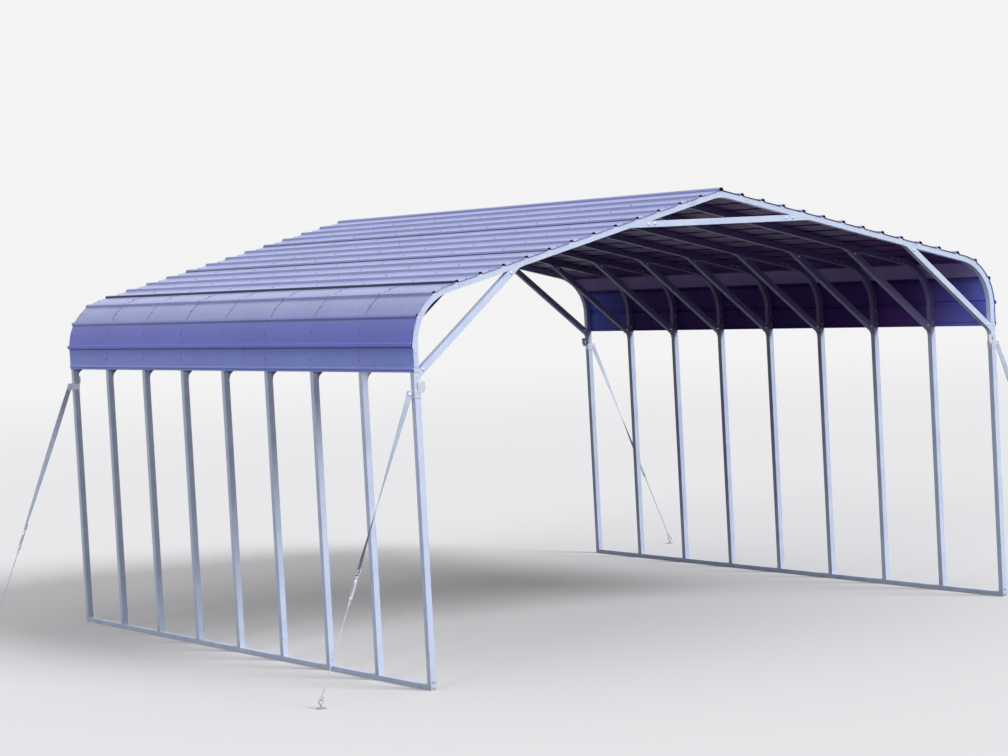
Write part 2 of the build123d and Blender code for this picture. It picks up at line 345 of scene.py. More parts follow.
@dataclass(frozen=True)
class TubeFinish:
    """Pale galvanised tube, drawn along one direction, and darkened with painted shade on the inner frames.
    """

    name: str
    direction: Point
    colour: Colour = (0.81, 0.86, 0.95)
    bloom: Colour = (0.71, 0.75, 0.89)
    bare: Colour = (0.86, 0.90, 0.96)
    dirt: Colour = (0.50, 0.50, 0.54)
    # Painted shade: darker colour that the inner frames take in from the ends, where the roof shades them.
    inner: Colour | None = None
    inner_shade_from: Span = (2.95, 2.85)
    splash_reach: float = 0.22
    corner_radius: float = 0.0035
    line_spacing: float = 0.0016
    line_depth: float = 0.00008

    def material(self) -> bpy.types.Material:
        """Make the material.

        Returns:
            The new material.
        """
        s = Surface(self.name, Metallic=0.05, IOR=1.5, Specular_IOR_Level=0.1)
        zinc = s.effect(Effect.MOTTLE, Color=self.colour, Tint=self.bloom, Scale=5.0, Amount=0.55)
        pale = zinc["Color"]
        # Painted shade: the inner frames darken in from the ends.
        if self.inner:
            pale = s.mix(s.ramp(s.from_middle(), *self.inner_shade_from), pale, self.inner)
        edge = s.effect(Effect.EDGE, Color=pale, Bare=self.bare, Radius=self.corner_radius, Amount=0.3)
        dirty = s.effect(Effect.GRIME, Color=edge["Color"], Dirt=self.dirt, Reach=self.splash_reach,
                         Amount=0.32)
        lines = s.effect(Effect.DRAWN, Direction=self.direction, Spacing=self.line_spacing)["Height"]
        rough = s.weighed(zinc["Mask"], 0.22, s.weighed(lines, 0.12, 0.27))
        rough = s.weighed(dirty["Mask"], 0.3, rough)
        return s.finish(dirty["Color"], rough, lines, self.line_depth, edge["Normal"])


@dataclass(frozen=True)
class SheetFinish:
    """Coated ribbed sheet in lilac and violet, with painted light: the roof paler and the sides more violet,
    and lighter towards the lower edge; its dark backing coat also carries painted shade, glints and a painted
    reflection.
    """

    eave: Point
    name: str = "coated_sheet"
    colour: Colour = (0.48, 0.52, 0.88)
    # Painted light: lighter and bluer towards the lower edge of the sides.
    lower_edge_light: Colour = (0.56, 0.63, 0.96)
    # Painted light: paler on the roof than on the more violet sides, because of how light falls.
    roof_light: Colour = (0.61, 0.64, 0.83)
    # Backing coat, dark partly as its own colour and partly as painted shade under the roof; the glint colour
    # makes painted glints.
    backing: Colour = (0.30, 0.17, 0.40)
    backing_glint: Colour = (0.42, 0.28, 0.56)
    # Painted light inside the sides, lightest towards the open ends.
    side_backing: Colour = (0.42, 0.29, 0.62)
    backing_lit_at_ends: Colour = (0.50, 0.54, 0.96)
    # Painted reflection across the underside of the bends.
    painted_reflection: Colour = (0.86, 0.76, 0.98)
    dirt: Colour = (0.34, 0.34, 0.48)
    roof_light_from: Span = (0.34, 0.60)
    reflection_band: Span = (0.49, 0.85)
    reflection_band_edge: float = 0.06
    ends: Span = (1.9, 2.9)
    lower_edge_light_reach: float = 0.12
    wave_depth: float = 0.004

    def outward(self, s: Surface) -> Socket:
        """Rough direction out of the sheets.

        Args:
            s: The material.

        Returns:
            Up on the roof, round the eave bends, and sideways below them.
        """
        place = s.place()
        past = s.vector("SUBTRACT", s.vector("ABSOLUTE", place), self.eave)
        past = s.vector("MAXIMUM", past, (0.0, 0.0, 0.0))
        turned = s.vector("MULTIPLY", s.vector("MULTIPLY", past, s.vector("SIGN", place)), (1.0, 0.0, 1.0))
        return s.vector("NORMALIZE", turned)

    def inside(self, s: Surface, upward: Socket, roof: Socket) -> Socket:
        """Colour of the backing coat, darkened as painted shade under the roof, with painted glints, a
        painted reflection across the bends, and painted light inside the sides towards the open ends.

        Args:
            s: The material.
            upward: How far the sheet faces up, from 0 on the sides to 1 on the roof.
            roof: Mask of the roof.

        Returns:
            The colour.
        """
        # Painted glints: lighter patches at random on the backing coat.
        glints = s.mix(s.ramp(s.noise(s.place(), 2.2, 3.0), 0.42, 0.66), self.backing, self.backing_glint)
        # Painted light: the inside of the sides is lighter and bluer towards the open ends.
        lower = s.mix(s.ramp(s.from_middle(), *self.ends), self.side_backing, self.backing_lit_at_ends)
        # Painted reflection across the bends, where the sheet turns from the roof to the side.
        low, high = self.reflection_band
        reflection_band = s.times(s.ramp(upward, low, low + self.reflection_band_edge), s.ramp(upward, high, high - self.reflection_band_edge))
        return s.mix(s.times(reflection_band, 0.9), s.mix(roof, lower, glints), self.painted_reflection)

    def material(self) -> bpy.types.Material:
        """Make the material.

        Returns:
            The new material.
        """
        s = Surface(self.name, Metallic=0.0, IOR=1.5, Specular_IOR_Level=0.03, Coat_Roughness=0.16)
        place, outward = s.place(), self.outward(s)
        outer = s.math("GREATER_THAN", s.dot(outward, s.normal()), 0.0)
        upward = s.part(outward, "Z")
        # Painted light: where the sheet faces up it takes the paler roof colour.
        roof = s.ramp(upward, *self.roof_light_from)
        # Painted light: lighter and bluer towards the lower edge.
        edge = s.ramp(s.part(place, "Z"), self.eave[2], self.eave[2] - self.lower_edge_light_reach)
        coating_and_light = s.mix(roof, s.mix(edge, self.colour, self.lower_edge_light), self.roof_light)
        clouds = s.effect(Effect.MOTTLE, Color=coating_and_light, Tint=self.dirt, Scale=1.3, Amount=0.12)
        runs = s.ramp(s.noise(s.vector("MULTIPLY", place, (0.7, 16.0, 0.7)), 1.0, 4.0), 0.5, 0.8)
        outside = s.mix(s.times(runs, 0.05), clouds["Color"], self.dirt)
        waves = s.noise(s.vector("MULTIPLY", place, (4.0, 1.1, 4.0)), 1.0, 2.0)
        rough = s.weighed(runs, 0.14, s.weighed(waves, 0.12, 0.30))
        s.put(s.shader.inputs["Coat Weight"], s.times(outer, 0.35))
        colour = s.mix(outer, self.inside(s, upward, roof), outside)
        return s.finish(colour, rough, waves, self.wave_depth)


@dataclass(frozen=True)
class FittingFinish:
    """Zinc-plated steel of fittings, screws and bolts."""

    name: str = "guy_fittings"
    colour: Colour = (0.84, 0.86, 0.91)
    bloom: Colour = (0.72, 0.74, 0.81)
    bare: Colour = (0.92, 0.93, 0.96)
    dirt: Colour = (0.42, 0.39, 0.38)
    metallic: float = 0.55
    edge_radius: float = 0.0012
    splash_reach: float = 0.16
    grain_depth: float = 0.00012

    def material(self) -> bpy.types.Material:
        """Make the material.

        Returns:
            The new material.
        """
        s = Surface(self.name, Metallic=self.metallic)
        zinc = s.effect(Effect.MOTTLE, Color=self.colour, Tint=self.bloom, Scale=30.0, Amount=0.6)
        edge = s.effect(Effect.EDGE, Color=zinc["Color"], Bare=self.bare, Radius=self.edge_radius, Amount=0.8)
        dirty = s.effect(Effect.GRIME, Color=edge["Color"], Dirt=self.dirt, Reach=self.splash_reach,
                         Amount=0.7)
        rough = s.weighed(dirty["Mask"], 0.3, s.weighed(zinc["Mask"], 0.25, 0.28))
        grain = s.noise(s.place(), 420.0, 3.0)
        return s.finish(dirty["Color"], rough, grain, self.grain_depth, edge["Normal"])


@dataclass(frozen=True)
class DarkFinish:
    """Dark matt stuff: rubber washers, seal strips that are dark partly as painted shade, and the shadow gap
    at a joint between two tubes.
    """

    name: str
    colour: Colour = (0.13, 0.12, 0.15)
    dust: Colour = (0.33, 0.31, 0.34)
    grain_depth: float = 0.0001

    def material(self) -> bpy.types.Material:
        """Make the material.

        Returns:
            The new material.
        """
        s = Surface(self.name, Metallic=0.0, Specular_IOR_Level=0.3)
        dusty = s.effect(Effect.MOTTLE, Color=self.colour, Tint=self.dust, Scale=12.0, Amount=0.4)
        rough = s.weighed(dusty["Mask"], 0.2, 0.62)
        return s.finish(dusty["Color"], rough, s.noise(s.place(), 900.0, 2.0), self.grain_depth)


@dataclass(frozen=True)
class WebbingFinish:
    """Woven strap, in ridges along it that warp threads cross, and darkened with painted shade on one face at
    the front.
    """

    name: str = "webbing"
    colour: Colour = (0.82, 0.88, 0.96)
    shade: Colour = (0.66, 0.73, 0.86)
    border: Colour = (0.50, 0.60, 0.80)
    dirt: Colour = (0.48, 0.46, 0.44)
    # Painted shade on the outer face of the two front straps, below their twist.
    strap_shade: Colour = (0.22, 0.28, 0.34)
    strap_shade_from: Span = (0.66, 0.90)
    splash_reach: float = 0.3
    thread: float = 0.0016
    thread_depth: float = 0.0006
    border_from: float = 0.0178
    attribute: str = "weave"

    def strap_shade_mask(self, s: Surface, cloth: Socket) -> Socket:
        """Mask of the painted shade on the outer face of the two front straps, below their twist.

        Args:
            s: The material.
            cloth: Place across and along the strap, and the face.

        Returns:
            The mask.
        """
        back = s.ramp(s.part(cloth, "Z"), -0.2, 0.2)
        front = s.ramp(s.part(s.place(), "Y"), 1.0, -1.0)
        lower = s.ramp(s.part(cloth, "Y"), *self.strap_shade_from, 0.0, 0.85)
        return s.times(s.times(back, front), lower)

    def material(self) -> bpy.types.Material:
        """Make the material.

        Returns:
            The new material.
        """
        s = Surface(self.name, Metallic=0.0, Sheen_Weight=0.35, Sheen_Roughness=0.5, Specular_IOR_Level=0.3)
        cloth = s.add("Attribute", attribute_name=self.attribute).outputs["Vector"]
        turns = s.scaled(cloth, 2 * math.pi / self.thread)
        ridge = s.math("SINE", s.times(s.part(turns, "X"), 0.5))
        lean = s.math("SINE", s.math("ADD", s.part(turns, "Y"), s.times(ridge, 1.6)))
        weave = s.weighed(s.times(ridge, lean), 0.5, 0.5)
        weave = s.weighed(s.noise(s.place(), 700.0, 3.0), 0.35, s.times(weave, 0.8))
        woven = s.mix(s.ramp(weave, 0.1, 0.8), self.shade, self.colour)
        across = s.math("ABSOLUTE", s.part(cloth, "X"))
        selvedge = s.ramp(across, self.border_from, self.border_from + self.thread / 2, 0.0, 0.7)
        # Painted shade: the front straps' outer face darkens below the twist.
        woven = s.mix(self.strap_shade_mask(s, cloth), s.mix(selvedge, woven, self.border), self.strap_shade)
        used = s.effect(Effect.MOTTLE, Color=woven, Tint=self.dirt, Scale=7.0, Amount=0.22)
        dirty = s.effect(Effect.GRIME, Color=used["Color"], Dirt=self.dirt, Reach=self.splash_reach,
                         Amount=0.5)
        return s.finish(dirty["Color"], s.weighed(dirty["Mask"], 0.1, 0.72), weave, self.thread_depth)


# Small shapes


@dataclass(frozen=True)
class Shape:
    """A small closed mesh that is copied many times."""

    points: np.ndarray
    faces: tuple[tuple[int, ...], ...]

    def __add__(self, other: "Shape") -> "Shape":
        """Put two shapes together as one."""
        moved = tuple(tuple(i + len(self.points) for i in face) for face in other.faces)
        return Shape(np.vstack([self.points, other.points]), self.faces + moved)

    def moved(self, matrix: Matrix) -> "Shape":
        """Give a moved copy, with its faces still outward after a mirroring.

        Args:
            matrix: Where the copy goes.

        Returns:
            The copy.
        """
        m = np.array(matrix)
        points = self.points @ m[:3, :3].T + m[:3, 3]
        flip = np.linalg.det(m[:3, :3]) < 0
        return Shape(points, tuple(face[::-1] for face in self.faces) if flip else self.faces)


def rings(sections: Sequence[np.ndarray], closed: bool = False) -> Shape:
    """Skin a row of closed sections that have as many points each.

    Args:
        sections: Points of each section, going round to the left as seen from the row's end.
        closed: Whether the last section joins the first, instead of an end face on each.

    Returns:
        The skinned shape.
    """
    count, n = len(sections), len(sections[0])
    faces = []
    for i in range(count if closed else count - 1):
        a, b = i * n, (i + 1) % count * n
        faces += [(a + j, a + (j + 1) % n, b + (j + 1) % n, b + j) for j in range(n)]
    if not closed:
        faces += [tuple(range(n - 1, -1, -1)), tuple((count - 1) * n + j for j in range(n))]
    return Shape(np.vstack(sections), tuple(faces))


def bar(section: Sequence[Span], half: float, axis: int = 0) -> Shape:
    """Straight bar along X, or along Y where axis is 1, that reaches as far to both sides of 0."""
    return rings([np.insert(np.array(section), axis, end, axis=1) for end in (-half, half)])


def lathe(profile: Sequence[Span], sides: int) -> Shape:
    """Turn a profile about Z.

    Args:
        profile: Radius and height of each point, from the foot up.
        sides: Number of sides that stand for the round.

    Returns:
        The turned shape.
    """
    turns = np.arange(sides) * 2 * math.pi / sides
    circle = np.column_stack([np.cos(turns), np.sin(turns)])
    return rings([np.column_stack([circle * r, np.full(sides, z)]) for r, z in profile])


def swept(path: Sequence[Vector], radius: float, sides: int, up: Vector, closed: bool = False) -> Shape:
    """Round wire along a path.

    Args:
        path: Points of the wire's centre line.
        radius: Radius of the wire.
        sides: Number of sides of its section.
        up: Direction that the section is set out from, never along the path.
        closed: Whether the wire is a ring.

    Returns:
        The wire.
    """
    turns = np.arange(sides) * 2 * math.pi / sides
    sections = []
    for i, point in enumerate(path):
        before = path[i - 1] if i or closed else path[i]
        after = path[(i + 1) % len(path)] if closed or i < len(path) - 1 else path[i]
        along = (after - before).normalized()
        side = up.cross(along).normalized()
        other = along.cross(side)
        section = [point + radius * (side * math.cos(t) + other * math.sin(t)) for t in turns]
        sections.append(np.array([tuple(p) for p in section]))
    return rings(sections, closed)


def place_at(origin: Point | Vector, out: Point | Vector, across: Point | Vector = (0, 1, 0)) -> Matrix:
    """Placement whose Z points out of a surface.

    Args:
        origin: Where the shape's origin goes.
        out: Direction of the shape's Z.
        across: Rough direction of its Y.

    Returns:
        The placement.
    """
    z = Vector(out).normalized()
    x = Vector(across).cross(z).normalized()
    matrix = Matrix((x, z.cross(x), z)).transposed().to_4x4()
    matrix.translation = Vector(origin)
    return matrix


def mirror(x: int, y: int = 1) -> Matrix:
    """Mirroring to a side, where x is -1 for the left and y is -1 for the other end."""
    return Matrix.Diagonal((x, y, 1, 1))


def on_both_sides(shapes: Iterable[Shape]) -> Iterator[Shape]:
    """Give right-hand shapes, each followed by its mirror image on the left."""
    for shape in shapes:
        yield from (shape.moved(mirror(side)) for side in SIDES.values())


@dataclass(frozen=True)
class Hardware:
    """Sizes of the screws and bolts that are used all over."""

    washer_radius: float = 0.0078
    washer_height: float = 0.0016
    flange_radius: float = 0.0070
    flange_height: float = 0.0013
    head_radius: float = 0.0048
    head_height: float = 0.0045
    bolt_head_radius: float = 0.0098
    bolt_head_height: float = 0.0056
    bolt_washer_radius: float = 0.0115
    bolt_washer_height: float = 0.0018
    bolt_reach: float = 0.010
    bolt_radius: float = 0.0044
    round_sides: int = 14
    bolt_sides: int = 10

    def hexagon(self, radius: float, foot: float, height: float) -> Shape:
        """Hexagonal head or nut with its rim chamfered."""
        slope, top = radius * 0.13, foot + height
        return lathe([(radius, foot), (radius, top - slope * 0.6), (radius - slope, top)], 6)

    def disc(self, radius: float, foot: float, height: float) -> Shape:
        """Washer with a rounded rim."""
        soft, top = height * 0.35, foot + height
        return lathe([(radius, foot), (radius, top - soft), (radius - soft, top)], self.round_sides)

    def rubber(self) -> Shape:
        """Rubber washer under a sheet screw."""
        return self.disc(self.washer_radius, 0.0, self.washer_height)

    def screw(self, foot: float = 0.0) -> Shape:
        """Flanged head of a screw, which sits on a tube or, where foot is its height, on a washer."""
        flange = self.disc(self.flange_radius, foot, self.flange_height)
        return flange + self.hexagon(self.head_radius, foot + self.flange_height, self.head_height)

    def bolt_head(self) -> Shape:
        """Bolt head on its washer."""
        washer = self.disc(self.bolt_washer_radius, 0.0, self.bolt_washer_height)
        return washer + self.hexagon(self.bolt_head_radius, self.bolt_washer_height, self.bolt_head_height)

    def nut(self) -> Shape:
        """Nut on its washer, with the bolt's end standing out of it.

        Returns:
            The shape, which stands on Z = 0.
        """
        radius, top = self.bolt_radius, self.bolt_washer_height + self.bolt_head_height
        end = [(radius, top), (radius, top + self.bolt_reach * 0.6),
               (radius * 0.8, top + self.bolt_reach * 0.68)]
        return self.bolt_head() + lathe(end, self.bolt_sides)


def show(name: str, data: bpy.types.ID) -> bpy.types.Object:
    """Put new data in the scene as an object.

    Args:
        name: Name of the object.
        data: Its mesh, camera or lamp.

    Returns:
        The new object.
    """
    obj = bpy.data.objects.new(name, data)
    bpy.context.scene.collection.objects.link(obj)
    return obj


def piece(name: str, shapes: Iterable[Shape], material: bpy.types.Material,
          sharp: float = 35.0) -> bpy.types.Object:
    """Join shapes into one object that rides on the carport.

    Args:
        name: Name of the piece.
        shapes: The shapes, in place.
        material: Its finish.
        sharp: Angle in degrees from which an edge is shown sharp.

    Returns:
        The new object.
    """
    shapes = list(shapes)
    starts = np.cumsum([0] + [len(shape.points) for shape in shapes])
    faces = [tuple(int(start) + i for i in face)
             for start, shape in zip(starts, shapes) for face in shape.faces]
    mesh = bpy.data.meshes.new(name)
    mesh.from_pydata(np.vstack([shape.points for shape in shapes]).tolist(), [], faces)
    work = bmesh.new()
    work.from_mesh(mesh)
    for face in work.faces:
        face.smooth = True
    limit = math.radians(sharp)
    for edge in work.edges:
        edge.smooth = edge.calc_face_angle(0.0) < limit
    work.to_mesh(mesh)
    work.free()
    mesh.materials.append(material)
    obj = show(name, mesh)
    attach(obj, BODY)
    log.info("%s: %d faces", name, len(faces))
    return obj


def dress(node: str, material: bpy.types.Material) -> None:
    """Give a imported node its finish."""
    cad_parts[node].material_slots[0].material = material
    log.info("%s: %s", node, material.name)


# The carport


@dataclass(frozen=True)
class RoofLine:
    """Outline of the frames, along the outer face of their tubes, with what stands on it."""

    half_width: float
    eave: float
    tube: float
    ys: tuple[float, ...]
    frame_count: int = 9
    radius: float = 0.450
    leg: float = 0.200
    bend_tail: float = 0.100
    ridge_radius: float = 0.450
    ridge_tail: float = 0.200
    degrees: float = 13.5
    sheet: float = 0.0005
    seat: float = 0.0003
    lap: float = 0.0007
    ribs: int = 12
    last_rib: int = 15
    corner_run: float = 0.082
    rib: Point = (0.044, 0.020, 0.019)
    panel_lap: float = 0.030

    @classmethod
    def measured(cls) -> "RoofLine":
        """Take the plan, the eave's height and the tubes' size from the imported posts.

        Returns:
            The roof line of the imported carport.
        """
        low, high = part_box("posts_right")
        tube = high.x - low.x
        first, last = low.y + tube / 2, high.y - tube / 2
        ys = tuple(first + (last - first) * i / (cls.frame_count - 1) for i in range(cls.frame_count))
        return cls(half_width=high.x, eave=high.z, tube=tube, ys=ys)

    @property
    def angle(self) -> float:
        """Slope of the roof, in radians."""
        return math.radians(self.degrees)

    @property
    def along(self) -> Vector:
        """Direction down the right-hand slope."""
        return Vector((math.cos(self.angle), 0, -math.sin(self.angle)))

    @property
    def out(self) -> Vector:
        """Direction out of the right-hand slope."""
        return Vector((math.sin(self.angle), 0, math.cos(self.angle)))

    @property
    def arc_centre(self) -> Vector:
        """Middle of the right-hand eave bends."""
        return Vector((self.half_width - self.radius, 0, self.eave + self.leg))

    @property
    def slope_length(self) -> float:
        """From the ridge to the eave bend's arc."""
        return (self.arc_centre.x + self.radius * math.sin(self.angle)) / math.cos(self.angle)

    @property
    def arc_length(self) -> float:
        """Length of an eave bend's arc."""
        return self.radius * (math.pi / 2 - self.angle)

    @property
    def ridge(self) -> float:
        """Height at which the two slopes would meet."""
        rise = self.slope_length * math.sin(self.angle)
        return self.arc_centre.z + self.radius * math.cos(self.angle) + rise

    @property
    def pitch(self) -> float:
        """Distance between the ribs."""
        return (self.slope_length - self.corner_run) / self.ribs

    @property
    def joints(self) -> Span:
        """Distances from the ridge to a rafter's two joints."""
        top = self.ridge_radius * math.tan(self.angle) + self.ridge_tail
        return top, self.slope_length - self.bend_tail

    @property
    def post_x(self) -> float:
        """Middle of the right-hand posts."""
        return self.half_width - self.tube / 2

    def at_end(self, y: float) -> bool:
        """Whether a frame that stands at y is an end frame."""
        return y in (self.ys[0], self.ys[-1])

    def at(self, s: float, h: float, y: float) -> Matrix:
        """Placement on the right-hand roof line.

        Args:
            s: Distance along it from the ridge.
            h: Height above it.
            y: Place along the ridge.

        Returns:
            A placement whose Z points out of the roof.
        """
        past = s - self.slope_length
        if past <= 0:
            origin, out = Vector((0, 0, self.ridge)) + self.along * s, self.out
        elif past <= self.arc_length:
            turn = math.pi / 2 - self.angle - past / self.radius
            out = Vector((math.cos(turn), 0, math.sin(turn)))
            origin = self.arc_centre + out * self.radius
        else:
            out = Vector((1, 0, 0))
            origin = Vector((self.half_width, 0, self.arc_centre.z - past + self.arc_length))
        return place_at(origin + out * h + Vector((0, y, 0)), out)


@dataclass
class BaseFrame:
    """Rails on the ground and the posts on them."""

    line: RoofLine
    hardware: Hardware
    foot_bolts: tuple[float, ...] = (0.022, 0.068)
    inner_foot_screws: tuple[float, ...] = (0.062, 0.090)
    rail_splash: float = 0.07

    def dress(self) -> None:
        """Give rails and posts their finishes."""
        upright = TubeFinish("tube_upright", (0.0, 0.0, 1.0)).material()
        level = TubeFinish("tube_rail", (0.0, 1.0, 0.0), splash_reach=self.rail_splash).material()
        for side in SIDES:
            dress(f"posts_{side}", upright)
            dress(f"base_rail_{side}", level)

    def fixings(self) -> Iterator[Shape]:
        """Fixings at the feet of the right-hand posts.

        Yields:
            Bolts at the end posts, and screws where the others stand on the rail.
        """
        middle, half = self.line.post_x, self.line.tube / 2
        bolt, screw = self.hardware.bolt_head(), self.hardware.screw()
        for y in self.line.ys:
            for face in (-1, 1):
                if self.line.at_end(y):
                    for z in self.foot_bolts:
                        yield bolt.moved(place_at((middle, y + face * half, z), (0, face, 0), (0, 0, 1)))
                else:
                    for z in self.inner_foot_screws:
                        yield screw.moved(place_at((middle + face * half, y, z), (face, 0, 0)))

    def build(self, metal: bpy.types.Material) -> None:
        """Dress the nodes and add the fixings."""
        self.dress()
        piece("foot_fixings", on_both_sides(self.fixings()), metal)


@dataclass
class RoofFrames:
    """Eave bends, rafters, ridge bends, braces and collar ties."""

    line: RoofLine
    hardware: Hardware
    brace_tube: float = 0.050
    brace_drop: float = 0.010
    brace_reach: float = 0.920
    brace_bolt: float = 0.036
    tab_length: float = 0.028
    tab_thickness: float = 0.003
    tab_screw: float = 0.011
    collar_drop: float = 0.227
    collar_bolts: tuple[float, ...] = (0.075, 0.145)
    joint_screw: float = 0.035
    leg_screws: tuple[float, ...] = (-0.030, 0.040, 0.150)
    seam_width: float = 0.0016
    seam_proud: float = 0.0002
    # Painted shade: darker colours of the braces and tubes of the inner frames, which lie in the roof's
    # shade.
    inner_brace_shade: Colour = (0.66, 0.63, 0.80)
    inner_tube_shade: Colour = (0.56, 0.53, 0.70)

    @property
    def post_inside(self) -> float:
        """Inner face of the right-hand posts."""
        return self.line.half_width - self.line.tube

    def under_rafter(self, x: float) -> float:
        """Height of the underside of the right-hand rafters."""
        return self.line.ridge - self.line.tube / math.cos(self.line.angle) - x * math.tan(self.line.angle)

    @property
    def brace_foot(self) -> Vector:
        """Where a right-hand brace's centre line meets the post."""
        return Vector((self.post_inside, 0, self.line.eave - self.brace_drop))

    @property
    def brace_along(self) -> Vector:
        """Direction up a right-hand brace."""
        head_x = self.post_inside - self.brace_reach
        return (Vector((head_x, 0, self.under_rafter(head_x))) - self.brace_foot).normalized()

    def dress(self) -> None:
        """Give each tube a finish whose lines run along it, and painted shade on the inner frames."""
        slope, brace = self.line.along, self.brace_along
        # The inner frames get the painted shade colours in from the ends.
        bend = TubeFinish("tube_bend", (0.0, 0.0, 1.0), inner=self.inner_tube_shade).material()
        level = TubeFinish("tube_level", (1.0, 0.0, 0.0), inner=self.inner_tube_shade).material()
        for name, side in SIDES.items():
            rafter = TubeFinish(f"tube_rafter_{name}", (side * slope.x, 0.0, slope.z), inner=self.inner_tube_shade)
            lean = TubeFinish(f"tube_brace_{name}", (side * brace.x, 0.0, brace.z), inner=self.inner_brace_shade)
            dress(f"eave_bends_{name}", bend)
            dress(f"rafters_{name}", rafter.material())
            dress(f"knee_braces_{name}", lean.material())
        for node in ("ridge_bends", "collar_tie_front", "collar_tie_back"):
            dress(node, level)

    def both_faces(self, spot: Vector, y: float, half: float) -> Iterator[Matrix]:
        """Placements on the front and back face of a tube, at a point of its middle plane."""
        for face in (-1, 1):
            yield place_at(spot + Vector((0, y + face * half, 0)), (0, face, 0), (0, 0, 1))

    def joint_spots(self) -> list[Vector]:
        """Screws beside each joint of a right-hand frame.

        Returns:
            Their places in the middle plane of the tubes.
        """
        line = self.line
        spots = [line.at(s + step, -line.tube / 2, 0).translation
                 for s in line.joints for step in (-self.joint_screw, self.joint_screw)]
        return spots + [Vector((line.post_x, 0, line.eave + rise)) for rise in self.leg_screws]

    def brace_spots(self) -> list[Vector]:
        """Bolts through the two ends of a right-hand brace.

        Returns:
            Their places in the middle plane of the brace.
        """
        foot, along = self.brace_foot, self.brace_along
        length = self.brace_reach / -along.x
        step = self.brace_bolt / -along.x
        return [foot + along * step, foot + along * (length - step)]

    def tab_spots(self) -> list[Matrix]:
        """Screws through the two tabs of a right-hand brace.

        Returns:
            Placements on the tab at the post and on the tab under the rafter.
        """
        line, along, thick = self.line, self.brace_along, self.tab_thickness
        rise = along.z / -along.x
        level = self.brace_foot.z - self.brace_tube / 2 / -along.x
        low = level + thick * rise - self.tab_length + self.tab_screw
        clear = self.under_rafter(self.post_inside) - thick / math.cos(line.angle) - level
        head_x = self.post_inside - clear / (rise - math.tan(line.angle))
        high_x = head_x - (self.tab_length - self.tab_screw) * math.cos(line.angle)
        high = Vector((high_x, 0, self.under_rafter(high_x))) - line.out * thick
        return [place_at((self.post_inside - thick, 0, low), (-1, 0, 0)), place_at(high, -line.out)]

    def collar_spots(self) -> list[Vector]:
        """Bolts through the right-hand end of a collar tie.

        Returns:
            Their places in the middle plane of the tie.
        """
        z = self.line.ridge - self.collar_drop - self.line.tube / 2
        reach = (self.under_rafter(0) - z) / math.tan(self.line.angle)
        return [Vector((reach - back, 0, z)) for back in self.collar_bolts]

    def fixings(self) -> Iterator[Shape]:
        """Fixings of the right-hand halves of all frames.

        Yields:
            Screws and bolts, in place.
        """
        line, screw, bolt = self.line, self.hardware.screw(), self.hardware.bolt_head()
        rows = [(screw, self.joint_spots(), line.tube), (bolt, self.brace_spots(), self.brace_tube)]
        ties = [(bolt, self.collar_spots(), line.tube)]
        for y in line.ys:
            for head, spots, tube in rows + (ties if line.at_end(y) else []):
                for spot in spots:
                    yield from (head.moved(matrix) for matrix in self.both_faces(spot, y, tube / 2))
            yield from (screw.moved(Matrix.Translation((0, y, 0)) @ spot) for spot in self.tab_spots())

    def seams(self) -> Iterator[Shape]:
        """Dark lines round the joints between the square tubes.

        Yields:
            The lines of the right-hand halves of all frames.
        """
        line, half = self.line, self.line.tube / 2 + self.seam_proud
        seam = bar([(-half, -half), (half, -half), (half, half), (-half, half)], self.seam_width / 2)
        for y in line.ys:
            yield from (seam.moved(line.at(s, -line.tube / 2, y)) for s in line.joints)
            yield seam.moved(place_at((line.post_x, y, line.eave), (1, 0, 0)))

    def build(self, metal: bpy.types.Material, dark: bpy.types.Material) -> None:
        """Dress the nodes and add fixings and joint lines.

        Args:
            metal: Finish of screws and bolts.
            dark: Finish of the joint lines.
        """
        self.dress()
        piece("frame_fixings", on_both_sides(self.fixings()), metal)
        piece("frame_joint_lines", on_both_sides(self.seams()), dark)


